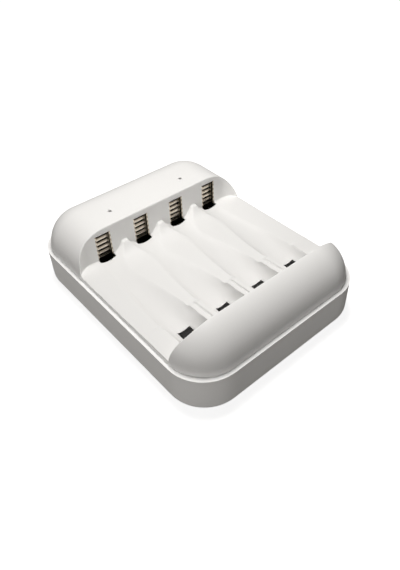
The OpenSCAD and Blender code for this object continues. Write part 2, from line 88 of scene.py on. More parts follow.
class Sock:
    """A shader socket whose arithmetic adds Math nodes to its graph."""

    def __init__(self, graph: "Graph", socket: Any) -> None:
        """Wraps one output socket of a graph."""
        self.graph = graph
        self.socket = socket

    def _math(self, operation: Op, a: Any, b: Any = None) -> "Sock":
        """Adds one Math node on one or two values or sockets, and gives its result."""
        values = {0: a} if b is None else {0: a, 1: b}
        return self.graph.node("ShaderNodeMath", {"operation": operation.value}, values)

    def __add__(self, other: Any) -> "Sock":
        """Sum with a value on the right."""
        return self._math(Op.ADD, self, other)

    def __radd__(self, other: Any) -> "Sock":
        """Sum with a value on the left."""
        return self._math(Op.ADD, other, self)

    def __sub__(self, other: Any) -> "Sock":
        """Difference with a value on the right."""
        return self._math(Op.SUBTRACT, self, other)

    def __rsub__(self, other: Any) -> "Sock":
        """Difference with a value on the left."""
        return self._math(Op.SUBTRACT, other, self)

    def __mul__(self, other: Any) -> "Sock":
        """Product with a value on the right."""
        return self._math(Op.MULTIPLY, self, other)

    def __rmul__(self, other: Any) -> "Sock":
        """Product with a value on the left."""
        return self._math(Op.MULTIPLY, other, self)

    def __truediv__(self, other: Any) -> "Sock":
        """Quotient with a value on the right."""
        return self._math(Op.DIVIDE, self, other)

    def __rtruediv__(self, other: Any) -> "Sock":
        """Quotient with a value on the left."""
        return self._math(Op.DIVIDE, other, self)

    def __pow__(self, other: Any) -> "Sock":
        """Power with a value on the right."""
        return self._math(Op.POWER, self, other)

    def __rpow__(self, other: Any) -> "Sock":
        """Power with a value on the left."""
        return self._math(Op.POWER, other, self)

    def __gt__(self, other: Any) -> "Sock":
        """1 where greater than the other value, else 0."""
        return self._math(Op.GREATER, self, other)

    def __lt__(self, other: Any) -> "Sock":
        """1 where less than the other value, else 0."""
        return self._math(Op.LESS, self, other)

    def over(self, other: Any) -> "Sock":
        """The greater of this and another value."""
        return self._math(Op.GREATEST, self, other)

    def fraction(self) -> "Sock":
        """What is left after taking away the whole number below."""
        return self._math(Op.FRACTION, self)


class Graph:
    """A node tree that is filled through one generic method."""

    def __init__(self, tree: bpy.types.NodeTree) -> None:
        """Empties the tree."""
        self.tree = tree
        tree.nodes.clear()

    def node(self, kind: str, settings: dict[str, Any], inputs: dict[Any, Any], out: Any = 0) -> Sock:
        """Adds one node.

        Args:
            kind: the node's type.
            settings: properties set first; "stops" fills a colour ramp with (position, colour) pairs.
            inputs: socket name or index to a value or a Sock.
            out: name or index of the output to return.
        Returns:
            The chosen output, wrapped.
        """
        made = self.tree.nodes.new(kind)
        for name, value in settings.items():
            if name == "stops":
                self._fill_ramp(made.color_ramp, value)
            else:
                setattr(made, name, value)
        for name, value in inputs.items():
            if isinstance(value, Sock):
                self.tree.links.new(value.socket, made.inputs[name])
            else:
                made.inputs[name].default_value = value
        return Sock(self, made.outputs[out] if len(made.outputs) else None)

    @staticmethod
    def _fill_ramp(ramp: Any, stops: Sequence[tuple[float, Colour]]) -> None:
        """Sets a ramp's stops.

        Args:
            ramp: the colour ramp.
            stops: positions and colours, lowest first.
        """
        while len(ramp.elements) < len(stops):
            ramp.elements.new(1.0)
        for element, (position, colour) in zip(ramp.elements, stops):
            element.position = position
            element.color = (*colour, 1.0)

    def place(self) -> Sock:
        """Object coordinates."""
        return self.node("ShaderNodeTexCoord", {}, {}, "Object")

    def noise(self, scale: float, detail: float = 2.0) -> Sock:
        """Noise over the object's own coordinates, by cycles per metre and octaves, near 0.5 on average."""
        values = {"Vector": self.place(), "Scale": scale, "Detail": detail}
        return self.node("ShaderNodeTexNoise", {}, values, "Fac")

    def mix(self, factor: Any, a: Any, b: Any) -> Sock:
        """Blend of the colours or sockets a and b, with the factor as b's share."""
        start, end = (colour if isinstance(colour, Sock) else (*colour, 1.0) for colour in (a, b))
        return self.node("ShaderNodeMix", {"data_type": "RGBA"}, {0: factor, 6: start, 7: end}, 2)

    def vector(self, operation: Op, inputs: dict[int, Any]) -> Sock:
        """Adds one Vector Math node, from socket index to vector or Sock, and gives its number."""
        return self.node("ShaderNodeVectorMath", {"operation": operation.value}, inputs, "Value")


@dataclass(frozen=True)
class Finish:
    """A surface finish: mottled colour, uneven gloss and fine grain.

    Attributes:
        name: the material's name.
        colour, shade: the two colours that are mottled.
        roughness, spread: mean roughness and how far it varies.
        metallic: 0 for plastics and 1 for bare metal.
        grain_scale, grain_detail, grain_share: cycles per metre, octaves and share in the mottling.
        grain_depth, grain_height: strength of the grain's bump and its height in metres.
        blotch_scale: cycles per metre of the broad blotches.
        settings: other sockets of the shader, with their values.
    """

    name: str
    colour: Colour
    shade: Colour
    roughness: float
    spread: float = 0.06
    metallic: float = 0.0
    grain_scale: float = 2600.0
    grain_detail: float = 3.0
    grain_share: float = 0.4
    grain_depth: float = 0.08
    grain_height: float = 0.0001
    blotch_scale: float = 90.0
    settings: dict[str, Any] = field(default_factory=dict)

    def material(self) -> bpy.types.Material:
        """Makes the finish's material.

        Returns:
            A material that mixes colour and shade by broad noise and grain, with bump from the grain.
        """
        made = bpy.data.materials.new(self.name)
        made.use_nodes = True
        graph = Graph(made.node_tree)
        grain = graph.noise(self.grain_scale, self.grain_detail)
        blotch = graph.noise(self.blotch_scale)
        colour = self.tint(graph, grain * self.grain_share + blotch * (1.0 - self.grain_share))
        bump = graph.node("ShaderNodeBump", {}, {
            "Strength": self.grain_depth, "Distance": self.grain_height, "Height": grain})
        shader = graph.node("ShaderNodeBsdfPrincipled", {}, {
            "Base Color": colour, "Roughness": (blotch - 0.5) * self.spread + self.roughness,
            "Metallic": self.metallic, "Normal": bump, **self.settings})
        graph.node("ShaderNodeOutputMaterial", {}, {"Surface": shader})
        return made

    def tint(self, graph: Graph, mottle: Sock) -> Sock:
        """Base colour over the surface, mottled by an uneven value from 0 to 1."""
        return graph.mix(mottle, self.colour, self.shade)


@dataclass(frozen=True)
class ShadedSlatFinish(Finish):
    """Nickel on the slatted contacts, with a painted highlight along the lower edge of each slat and painted
    shade above it.

    Attributes:
        painted_shade_colour: colour of the painted shade over a slat's upper part.
        dark: colour of the painted shadow on the flanges' inner faces and below the lowest slat.
        first, pitch: height of the topmost slit's middle, and the distance between slits, in metres.
        bright, blend: share of a slat, from its lower edge, that carries the painted highlight, and share
            over which that fades into the painted shade.
        shadow_flange_y: range of y over which the flanges show, and where their painted shadow goes.
        shadow_below_z: height below which the contact gets the painted shadow.
    """

    painted_shade_colour: Colour = (0.34, 0.29, 0.23)
    dark: Colour = (0.05, 0.043, 0.034)
    first: float = 0.0238
    pitch: float = 0.00185
    highlight_share: float = 0.4
    blend: float = 0.25
    shadow_flange_y: tuple[float, float] = (0.0186, 0.0198)
    shadow_below_z: float = 0.0152

    def tint(self, graph: Graph, mottle: Sock) -> Sock:
        """Colour over the contacts, with the painted highlight, shade and shadow.

        Args:
            graph: the material's graph.
            mottle: uneven value from 0 to 1.
        Returns:
            The base colour.
        """
        place = graph.place()
        y, z = (graph.node("ShaderNodeSeparateXYZ", {}, {0: place}, axis) for axis in ("Y", "Z"))
        # painted highlight along each slat's lower edge, fading up into painted shade
        share = ((z - self.first) / self.pitch).fraction()
        slat = graph.mix((share - self.highlight_share) / self.blend, super().tint(graph, mottle), self.painted_shade_colour)
        # painted shadow on the flanges' inner faces and below the lowest slat
        flange = (y > self.shadow_flange_y[0]) * (y < self.shadow_flange_y[1])
        return graph.mix(flange.over(z < self.shadow_below_z), slat, self.dark)


@dataclass(frozen=True)
class RimHighlightFinish(Finish):
    """White plastic whose flat rim is painted paler, a painted highlight where the ledge faces the light
    from above.

    Attributes:
        rim: colour of the rim's painted highlight.
        rim_z: height of the rim, in metres.
    """

    rim: Colour = (0.93, 0.927, 0.92)
    rim_z: float = 0.01437

    def tint(self, graph: Graph, mottle: Sock) -> Sock:
        """Base colour over the surface, with the rim's painted highlight above its height."""
        # painted highlight on the flat rim, which faces the light from above
        height = graph.node("ShaderNodeSeparateXYZ", {}, {0: graph.place()}, "Z")
        return graph.mix(height > self.rim_z, super().tint(graph, mottle), self.rim)


class Finishes:
    """All finishes of the charger, by the record's material slot."""

    own_finish: dict[str, str] = {"contact_plate": "shaded_slats", "base_tub": "rim_highlight_plastic"}

    def __init__(self) -> None:
        """Makes each material once."""
        matte = {"Specular IOR Level": 0.2}
        rows = (
            Finish("white_plastic", (0.81, 0.805, 0.794), (0.77, 0.765, 0.754), 0.5, settings=matte),
            # base tub, with a painted highlight on its rim
            RimHighlightFinish("rim_highlight_plastic", (0.81, 0.805, 0.794), (0.77, 0.765, 0.754), 0.5, settings=matte),
            Finish("black_plastic", (0.022, 0.021, 0.020), (0.034, 0.033, 0.031), 0.5),
            Finish("board_laminate", (0.03, 0.17, 0.07), (0.02, 0.11, 0.05), 0.35),
            Finish("nickel", (0.66, 0.60, 0.50), (0.56, 0.51, 0.42), 0.32, metallic=1.0),
            # nickel contacts with painted highlight, shade and shadow over each slat
            ShadedSlatFinish("shaded_slats", (0.78, 0.72, 0.62), (0.70, 0.64, 0.54), 0.34, metallic=1.0),
            # painted shadow: the small springs are near-black to stand for the shade down in the floor slots
            Finish("dark_nickel", (0.016, 0.015, 0.014), (0.010, 0.009, 0.009), 0.5, settings=matte),
            Finish("steel", (0.58, 0.58, 0.59), (0.46, 0.46, 0.47), 0.3, metallic=1.0),
            Finish("ferrite", (0.05, 0.05, 0.055), (0.03, 0.03, 0.034), 0.7),
            Finish("can_aluminium", (0.72, 0.72, 0.74), (0.62, 0.62, 0.64), 0.28, metallic=1.0),
            Finish("lamp_resin", (0.86, 0.80, 0.52), (0.80, 0.72, 0.42), 0.25),
            Finish("clear_plastic", (0.10, 0.105, 0.11), (0.07, 0.075, 0.08), 0.15),
            Finish("rubber", (0.035, 0.035, 0.036), (0.022, 0.022, 0.023), 0.8),
        )
        self.by_slot = {row.name: row.material() for row in rows}

    def dress_solids(self) -> None:
        """Gives every solid its own finish, if its name has one, or else that of its slot in the record."""
        for part in frame["record"]["subparts"]:
            node = frame["nodes"][part["node"]]
            finish = self.own_finish.get(part["node"].rstrip("_1234"), part["material_slot"])
            node.data.materials.clear()
            node.data.materials.append(self.by_slot[finish])
            log.info("%s: %s", part["node"], finish)


def soft_min(a: np.ndarray, b: np.ndarray, k: Union[float, np.ndarray]) -> np.ndarray:
    """The lesser of two heights, with the crease between them rounded.

    Formula: where the two differ by less than k, the result dips below both by up to k / 4 on a parabola.

    Args:
        a: first height.
        b: second height.
        k: width of the rounding.
    Returns:
        The rounded minimum.
    """
    share = np.clip(0.5 + 0.5 * (b - a) / k, 0.0, 1.0)
    return b + (a - b) * share - k * share * (1.0 - share)


def smooth_step(t: np.ndarray) -> np.ndarray:
    """Rise from 0 to 1 along 3 t^2 - 2 t^3 as t does, held outside."""
    held = np.clip(t, 0.0, 1.0)
    return held * held * (3.0 - 2.0 * held)


def point(y: np.ndarray, z: np.ndarray) -> np.ndarray:
    """Points of sections, with y and height side by side on the last axis but one."""
    return np.stack(np.broadcast_arrays(y, z), axis=-2)


def straight(a: np.ndarray, b: np.ndarray, steps: np.ndarray) -> np.ndarray:
    """Rows of points on the straight line from a to b, (1 - s) a + s b at each step s."""
    s = steps[:, None, None]
    return (1.0 - s) * a + s * b


def bend(a: np.ndarray, b: np.ndarray, c: np.ndarray, steps: np.ndarray) -> np.ndarray:
    """Rows of points from a to c about the corner b, (1 - s)^2 a + 2 s (1 - s) b + s^2 c at each step s."""
    s = steps[:, None, None]
    return (1.0 - s) ** 2 * a + 2.0 * s * (1.0 - s) * b + s ** 2 * c


def grid_piece(name: str, points: np.ndarray, keep: np.ndarray) -> bpy.types.Object:
    """Makes a mesh object from a grid of points.

    Args:
        name: the piece's name.
        points: rows by columns by 3, in millimetres; columns run right and rows run away for an upward face.
        keep: which cells carry a face, rows - 1 by columns - 1.
    Returns:
        The object, smooth, with points that coincide merged; a cell with two merged corners becomes a
        triangle, and a cell that shrinks to a line is left out.
    """
    rows, columns, _ = points.shape
    first = (np.arange(rows - 1)[:, None] * columns + np.arange(columns - 1))[keep]
    faces = np.stack([first, first + 1, first + columns + 1, first + columns], axis=-1)
    flat = points.reshape(-1, 3)
    cell = np.round(flat / MERGE_MM)
    _, origin, merged = np.unique(cell, axis=0, return_index=True, return_inverse=True)
    faces = origin[merged.reshape(-1)][faces]
    same = faces == np.roll(faces, -1, axis=1)
    doubled = same.sum(axis=1)
    narrow = np.arange(4) != np.argmax(same[doubled == 1], axis=1)[:, None]
    used = np.unique(faces[doubled < 2])
    place = np.zeros(len(flat), dtype=int)
    place[used] = np.arange(len(used))
    quads = place[faces[doubled == 0]]
    triangles = place[faces[doubled == 1][narrow].reshape(-1, 3)]
    mesh = bpy.data.meshes.new(name)
    mesh.from_pydata((flat[used] * MM).tolist(), [], quads.tolist() + triangles.tolist())
    mesh.polygons.foreach_set("use_smooth", np.ones(len(mesh.polygons), dtype=bool))
    piece = bpy.data.objects.new(name, mesh)
    bpy.context.collection.objects.link(piece)
    return piece


@dataclass
class TopCover:
    """The white top moulding: a pillow with an open bay of four channels, in millimetres above the ledge.

    Attributes:
        ledge: height of the ledge that it stands on.
        half_w, half_l: half its width and length.
        dome: rounding radius of the pillow.
        skirt: upright part under the rounding.
        head_y, front_y: faces of the two end walls.
        bay_half, bay_corner: half width of the bay's plan and its corner radius at the head.
        sweep_x, sweep_r: where the front wall's ends start to sweep back, and their radius.
        pitch, channel_r: spacing and radius of the channels.
        rise, fall: height of the channel floor at the head, and its slope in degrees.
        peak, snout, saddle: points of the ridge outline, as (y, height).
        shoulder, shoulder_run: where the facets end and how far the rise to the dividers takes.
        facet_front, divider_h, divider_half: heights and half width at the front.
        divider_fall, fall_past: slope of a divider's right half, in degrees, and how far past its side that
            goes.
        flank, flank_round: slope of the dividers' sides, as rise over run, and rounding at their foot.
        flank_drop, flank_run: how deep the flanks sink behind the shoulder, and how far that takes.
        cradle, cradle_run: how much narrower the channels get beside the dividers, and how far that takes.
        cradle_lead: how far behind the shoulder that starts.
        groove_half, groove_depth: half width and depth of the groove along a divider, left of its middle.
        shelf, shelf_round: height of the shelves along the open sides, and rounding of their inner edge.
        shelf_lead: how far ahead of the shoulder the relief starts to rise to the front.
        relief_in, relief_tilt: where the finger relief's plane meets the ledge's height, from the middle of
            an outer channel, and its tilt in degrees.
        relief_r, relief_y, relief_reach: radius, start and length of its rise towards the head.
        opening_half, opening_top, opening_y: contact openings in the head wall.
        slot_half, slot_y: floor slots for the springs.
        lamp_at, lamp_r: indicator holes.
        lintel_clear, lintel_share: least wall over the openings, and where their top row lies on lower
            walls.
        edge, foot: rounding at the top and the foot of the end walls.
        edge_share, foot_share: the most that these take of a wall's height.
        crease, side_round: rounding of the creases between channels and facets, and of the open sides'
            edges.
        crest, narrowing: how much rounder the crests and how much narrower the channels get at the head.
        wall: thickness.
        thin_x, thin_run, thin_share: where the end walls run out, how far along, and with how much
            thickness.
        rim_bevel, rim_angle: width of the rims' bevel, and the least angle in degrees that gets one.
        rim_segments: faces across that bevel.
        grid_step, wall_steps: spacing of the grid's columns, and their places about a divider's side.
        slot_columns: columns from the middle of a slot to its side.
        side_columns, side_bias: number of columns on the rounded sides, and how they crowd outwards.
        dome_rows, curve_rows, slot_rows, wall_rows: rows of the arcs, roundings, slots and head wall.
        floor_runs: start, end and number of the floor's rows between the slots and the snouts.
        snout_rows: start and number of the snouts' rows.
        last_rows: rows from the openings' start to the head wall's foot.
        crown_counts: rows of the crown before and behind the indicator holes.
        ring: radii of the grid's rings about an indicator hole, as shares of the hole's.
        bays: middles of the channels, in half pitches.
        finish: name of the finish.
    """

    ledge: float = 14.4
    half_w: float = 34.75
    half_l: float = 44.55
    dome: float = 12.9
    skirt: float = 0.2
    head_y: float = 18.4
    front_y: float = -34.7
    bay_half: float = 35.375
    bay_corner: float = 6.6
    sweep_x: float = 24.5
    sweep_r: float = 17.0
    pitch: float = 15.2
    channel_r: float = 7.6
    rise: float = 0.35
    fall: float = 3.2
    peak: tuple[float, float] = (17.2, 4.9)
    snout: tuple[float, float] = (13.5, 1.35)
    saddle: tuple[float, float] = (5.5, 0.3)
    shoulder: float = -17.6
    shoulder_run: float = 2.4
    facet_front: float = 1.2
    divider_h: float = 2.5
    divider_half: float = 1.85
    divider_fall: float = 8.0
    fall_past: float = 1.0
    flank: float = 6.0
    flank_round: float = 0.6
    flank_drop: float = 9.0
    flank_run: float = 4.0
    cradle: float = 1.8
    cradle_run: float = 7.0
    cradle_lead: float = 1.0
    groove_half: float = 0.2
    groove_depth: float = 0.22
    shelf: float = 1.45
    shelf_round: float = 0.5
    shelf_lead: float = 1.0
    relief_in: float = -0.9
    relief_tilt: float = 7.0
    relief_r: float = 220.0
    relief_y: float = 2.0
    relief_reach: float = 30.0
    opening_half: float = 3.0
    opening_top: float = 10.8
    opening_y: float = 17.1
    slot_half: float = 2.3
    slot_y: tuple[float, float] = (-33.8, -22.95)
    lamp_at: tuple[float, float] = (15.2, 25.0)
    lamp_r: float = 0.65
    lintel_clear: float = 0.2
    lintel_share: float = 0.85
    edge: float = 0.45
    foot: float = 0.4
    edge_share: float = 0.4
    foot_share: float = 0.3
    crease: float = 0.12
    side_round: float = 0.2
    crest: float = 0.1
    narrowing: float = 0.5
    wall: float = 1.4
    thin_x: float = 27.0
    thin_run: float = 6.0
    thin_share: float = 0.15
    rim_bevel: float = 0.12
    rim_angle: float = 55.0
    rim_segments: int = 2
    grid_step: float = 0.4
    wall_steps: tuple[float, ...] = (-0.3, -0.15, -0.05, 0.05, 0.15, 0.35)
    slot_columns: int = 4
    side_columns: int = 22
    side_bias: float = 1.6
    dome_rows: int = 16
    curve_rows: int = 6
    slot_rows: int = 17
    wall_rows: int = 8
    floor_runs: tuple[tuple[float, float, int], ...] = (
        (-22.8, -20.4, 5), (-20.2, -16.8, 18), (-16.4, 8.0, 36))
    snout_rows: tuple[float, int] = (8.4, 19)
    last_rows: int = 4
    crown_counts: tuple[int, int] = (8, 7)
    ring: tuple[float, ...] = (1 / 3, 2 / 3, 1.0, 1.5, 2.0)
    bays: tuple[int, ...] = (-3, -1, 1, 3)
    finish: str = "white_plastic"

    @property
    def end(self) -> float:
        """Distance from the middle to the ends of the flat part."""
        return self.half_l - self.dome

    def columns(self) -> tuple[np.ndarray, np.ndarray]:
        """Places of the grid's columns.

        Formula: one set of places about each channel's middle, then even steps of a biased angle along the
        rounded sides; the radius is the height of a circle of the dome's radius there.

        Returns:
            The x of each column, closest at channel walls and holes, and the pillow's section radius there.
        """
        half = self.pitch / 2
        ring = np.concatenate([self.groove_half * np.arange(3), self.lamp_r * np.array(self.ring[2:])])
        wall = half - self.divider_half
        out = np.concatenate([
            np.linspace(0.0, self.slot_half, self.slot_columns),
            np.arange(self.opening_half, wall - self.grid_step, self.grid_step),
            wall + np.array(self.wall_steps), half - ring])
        out = np.unique(np.round(out, PLACES))
        bay = np.concatenate([-out[:0:-1], out])
        middle = np.unique(np.round(np.concatenate([bay + half * k for k in self.bays]), PLACES))
        start = math.asin((middle[-1] - self.half_w + self.dome) / self.dome)
        share = 1.0 - (1.0 - np.linspace(0.0, 1.0, self.side_columns)[1:]) ** self.side_bias
        angles = start + (math.pi / 2 - start) * share
        side = self.half_w - self.dome + self.dome * np.sin(angles)
        x = np.concatenate([-side[::-1], middle, side])
        inward = np.clip(np.abs(x) - self.half_w + self.dome, 0.0, self.dome)
        return x, np.sqrt(np.maximum(self.dome ** 2 - inward ** 2, 0.0))

    def ridge(self, y: np.ndarray) -> np.ndarray:
        """Height of the ridges' outline.

        Formula: a straight facet, an arc tangent to it up to the snout's foot, an arc tangent to that one up
        to the flat peak, and at the front a smooth step up to the dividers.

        Args:
            y: places along the bay.
        Returns:
            The outline's height at each.
        """
        line = (self.saddle[1] - self.facet_front) / (self.saddle[0] - self.shoulder)
        height = self.facet_front + line * (y - self.shoulder)
        slope = math.atan(line)
        for a, b in ((self.saddle, self.snout), (self.snout, self.peak)):
            chord = math.hypot(b[0] - a[0], b[1] - a[1])
            angle = math.atan2(b[1] - a[1], b[0] - a[0])
            radius = chord / (2 * math.sin(angle - slope))
            cy, cz = a[0] - radius * math.sin(slope), a[1] + radius * math.cos(slope)
            arc = cz - np.sqrt(np.maximum(radius ** 2 - (y - cy) ** 2, 0.0))
            height = np.where(y > a[0], arc, height)
            slope = 2 * angle - slope
        height = np.where(y > self.peak[0], self.peak[1], height)
        step = smooth_step((self.shoulder - y) / self.shoulder_run)
        return height + (self.divider_h - self.facet_front) * step

    def bay(self, x: np.ndarray, y: np.ndarray) -> np.ndarray:
        """Height of the bay's floor.

        Formula: the lower of the round channel and the ridge outline between channels, or of the channel,
        the tilted relief and the shelf outside them, with rounded creases. The channel's radius shrinks at
        the head and beside the dividers. There the channel is the higher of its arc and a steep straight
        flank.

        Args:
            x: the columns.
            y: places along, with one column for each x.
        Returns:
            The floor's height.
        """
        half = self.pitch / 2
        middle = np.clip(np.round(x / self.pitch - 0.5), -2, 1) * self.pitch + half
        across = x - middle
        outward = np.abs(x) - 3 * half
        floor = self.rise - (self.head_y - y) * math.tan(math.radians(self.fall))
        close = smooth_step((y - self.saddle[0]) / (self.head_y - self.saddle[0]))
        cradle = smooth_step((self.shoulder + self.cradle_lead - y) / self.cradle_run)
        radius = self.channel_r - self.narrowing * close - self.cradle * cradle
        channel = floor + radius - np.sqrt(np.maximum(radius ** 2 - across ** 2, 0.0))
        flank = self.divider_h + self.flank * (np.abs(across) - half + self.divider_half)
        sunk = flank - self.flank_drop * smooth_step((y - self.shoulder) / self.flank_run)
        flank = np.where(outward > 0, floor - self.flank_drop, sunk)
        channel = -soft_min(-channel, -flank, self.flank_round)
        right = np.clip(half + across, 0.0, self.divider_half + self.fall_past)
        front = smooth_step((self.shoulder - y) / self.shoulder_run)
        groove = np.maximum(1.0 - np.abs(half - across - self.groove_half) / self.groove_half, 0.0)
        fall = right * math.tan(math.radians(self.divider_fall)) + groove * self.groove_depth
        top = self.ridge(y) - front * fall
        along = np.clip(y - self.relief_y, 0.0, self.relief_reach)
        relief = self.relief_r - np.sqrt(np.maximum(self.relief_r ** 2 - along ** 2, 0.0))
        ahead = (self.shoulder - self.shelf_lead - y) / (2 * self.shoulder_run)
        relief = relief + 2 * self.shelf * smooth_step(ahead)
        relief = relief + (outward - self.relief_in) * math.tan(math.radians(self.relief_tilt))
        side = soft_min(relief, np.full_like(y, self.shelf), self.shelf_round)
        top = np.where(outward > 0, side, top)
        return soft_min(channel, top, self.crease + self.crest * close)

    def pillow(self, y: np.ndarray, r: np.ndarray) -> np.ndarray:
        """Height of the pillow: the skirt plus r, which falls on an arc of radius r past the ends."""
        past = np.maximum(np.abs(y) - self.end, 0.0)
        return self.skirt + np.sqrt(np.maximum(r ** 2 - past ** 2, 0.0))

    def floor_rows(self) -> np.ndarray:
        """Makes the places of the floor's rows, for where both walls are straight.

        Returns:
            The y of each row, closest at the slots and the shoulders.
        """
        runs = [np.linspace(*run) for run in self.floor_runs]
        snout = np.linspace(self.snout_rows[0], self.opening_y, self.snout_rows[1])
        last = np.linspace(self.opening_y, self.head_y - self.foot, self.last_rows)[1:]
        return np.concatenate([
            [self.front_y + self.foot], np.linspace(*self.slot_y, self.slot_rows), *runs, snout, last])

    def crown_rows(self) -> np.ndarray:
        """Makes the places of the crown's rows, for where the head wall is straight.

        Returns:
            The y of each row, closest at the indicator holes.
        """
        ring = self.lamp_r * np.array(self.ring)
        middle = self.lamp_at[1] + np.concatenate([-ring[::-1], [0.0], ring])
        before = np.linspace(self.head_y + self.edge, middle[0], self.crown_counts[0])[1:-1]
        behind = np.linspace(middle[-1], self.end, self.crown_counts[1])[1:]
        return np.concatenate([before, middle, behind])

    def section(self, x: np.ndarray, r: np.ndarray) -> tuple[np.ndarray, dict[Row, int]]:
        """Points of every column's section, from the front edge over the bay to the rear edge.

        Formula: an arc of radius r, a rounded edge, the front wall, the floor, the head wall, a rounded
        edge, the level crown and an arc of radius r again; the roundings are quadratic curves.

        Args:
            x: the columns.
            r: the pillow's section radius at each.
        Returns:
            Rows by 2 by columns, with y and height, and the number of each named row.
        """
        # faces of the end walls, and how much of each its roundings take
        end = self.end
        turn = np.clip(np.abs(x) - self.bay_half + self.bay_corner, 0.0, self.bay_corner)
        head = self.head_y - self.bay_corner + np.sqrt(self.bay_corner ** 2 - turn ** 2)
        turn = np.maximum(np.abs(x) - self.sweep_x, 0.0)
        front = self.front_y + self.sweep_r - np.sqrt(self.sweep_r ** 2 - turn ** 2)
        walls = np.stack([front, head])
        top = self.pillow(walls, r)
        low = np.minimum(self.bay(x, walls), top)
        edge = np.minimum(self.edge, self.edge_share * (top - low))
        foot = np.minimum(self.foot, self.foot_share * (top - low))
        upper, lower = top - edge, low + foot

        # front dome up to the front edge
        start = front - edge[0]
        size = np.maximum(r, TINY)
        arc = (math.pi / 2 - np.arcsin(np.clip((-end - start) / size, 0.0, 1.0))) * r
        run = np.linspace(0.0, 1.0, self.dome_rows)[:, None] * (arc + np.maximum(start + end, 0.0))
        y = np.where(run < arc, -end - r * np.cos(np.minimum(run, arc) / size), run - end - arc)
        dome = np.minimum(y, start)

        # floor between the feet of the walls, and top of the openings in the head wall
        near, far = front + foot[0], head - foot[1]
        nominal = self.floor_rows()
        share = ((nominal - nominal[0]) / (nominal[-1] - nominal[0]))[:, None]
        floor = near * (1.0 - share) + far * share
        first_z = np.minimum(self.bay(x, near), self.pillow(near, r))
        last_z = soft_min(self.bay(x, far), self.pillow(far, r), self.side_round)
        low_wall = lower[1] + self.lintel_share * (upper[1] - lower[1])
        lintel = np.where(upper[1] > self.opening_top + self.lintel_clear, self.opening_top, low_wall)

        # crown behind the head edge, and rear dome
        after = head + edge[1]
        crown = self.crown_rows()
        share = ((crown - self.head_y - self.edge) / (end - self.head_y - self.edge))[:, None]
        crown_y = after * (1.0 - share) + end * share
        angle = np.linspace(0.0, math.pi / 2, self.dome_rows)[1:, None]

        # all stretches in order, front to rear
        step = np.linspace(0.0, 1.0, self.curve_rows)[1:]
        rise = np.linspace(0.0, 1.0, self.wall_rows)[1:]
        zero = np.zeros_like(x)
        blocks = {
            "front rim": point(-end - r, zero)[None],
            "front dome": point(dome, self.pillow(dome, r)),
            "front edge": bend(
                point(start, self.pillow(start, r)), point(front, top[0]), point(front, upper[0]), step),
            "front wall": straight(point(front, upper[0]), point(front, lower[0]), step),
            "front foot": bend(
                point(front, lower[0]), point(front, low[0]), point(near, first_z), step[:-1]),
            "floor": point(floor, soft_min(self.bay(x, floor), self.pillow(floor, r), self.side_round)),
            "head foot": bend(point(far, last_z), point(head, low[1]), point(head, lower[1]), step),
            "head wall": straight(point(head, lower[1]), point(head, lintel), rise),
            "lintel": straight(point(head, lintel), point(head, upper[1]), np.array([0.5, 1.0])),
            "head edge": bend(
                point(head, upper[1]), point(head, top[1]), point(after, self.pillow(after, r)), step),
            "crown": point(crown_y, self.pillow(crown_y, r)),
            "rear dome": point(end + r * np.sin(angle), self.skirt + r * np.cos(angle)),
            "rear rim": point(end + r, zero)[None],
        }
        counts = [len(block) for block in blocks.values()]
        first = dict(zip(blocks, np.cumsum([0] + counts).tolist()))
        marks = {
            Row.SLOT: first["floor"] + 1,
            Row.SLOT_END: first["floor"] + self.slot_rows,
            Row.OPENING: first["floor"] + int(np.argmin(np.abs(nominal - self.opening_y))),
            Row.OPENING_END: first["lintel"] - 1,
            Row.LAMP: first["crown"] + int(np.argmin(np.abs(crown - self.lamp_at[1]))),
        }
        return np.concatenate(list(blocks.values())), marks

    def build(self) -> bpy.types.Object:
        """Makes the moulding.

        Returns:
            The piece, with its openings cut and its wall given thickness.
        """
        x, r = self.columns()
        rows, marks = self.section(x, r)
        # one more column at the ledge's height closes each side
        sides = ((0, 0), (1, 1))
        x = np.pad(x, 1, mode="edge")
        y = np.pad(rows[:, 0], sides, mode="edge")
        z = np.pad(rows[:, 1], sides)
        points = np.stack([np.broadcast_to(x, y.shape), y, z + self.ledge], axis=-1)
        keep = np.ones((y.shape[0] - 1, y.shape[1] - 1), dtype=bool)
        for k in self.bays:
            centre = k * self.pitch / 2
            self._cut(keep, x, centre, self.opening_half, marks[Row.OPENING], marks[Row.OPENING_END])
            self._cut(keep, x, centre, self.slot_half, marks[Row.SLOT], marks[Row.SLOT_END])
        rim = self.ring.index(1.0) + 1
        for side in (-1, 1):
            centre = side * self.lamp_at[0]
            self._cut(keep, x, centre, self.lamp_r, marks[Row.LAMP] - rim, marks[Row.LAMP] + rim)
            self._round_hole(points, centre, marks[Row.LAMP])
        piece = grid_piece("cover_moulding", points, keep)
        shell = piece.modifiers.new("wall", "SOLIDIFY")
        shell.thickness = self.wall * MM
        shell.offset = -1.0
        shell.vertex_group = self._thin(piece)
        trim = piece.modifiers.new("rims", "BEVEL")
        trim.width = self.rim_bevel * MM
        trim.segments = self.rim_segments
        trim.limit_method = "ANGLE"
        trim.angle_limit = math.radians(self.rim_angle)
        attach(piece, "housing")
        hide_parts("top_cover")
        return piece

    def dress(self, piece: bpy.types.Object, finishes: Finishes) -> None:
        """Gives the moulding its finish."""
        piece.data.materials.append(finishes.by_slot[self.finish])

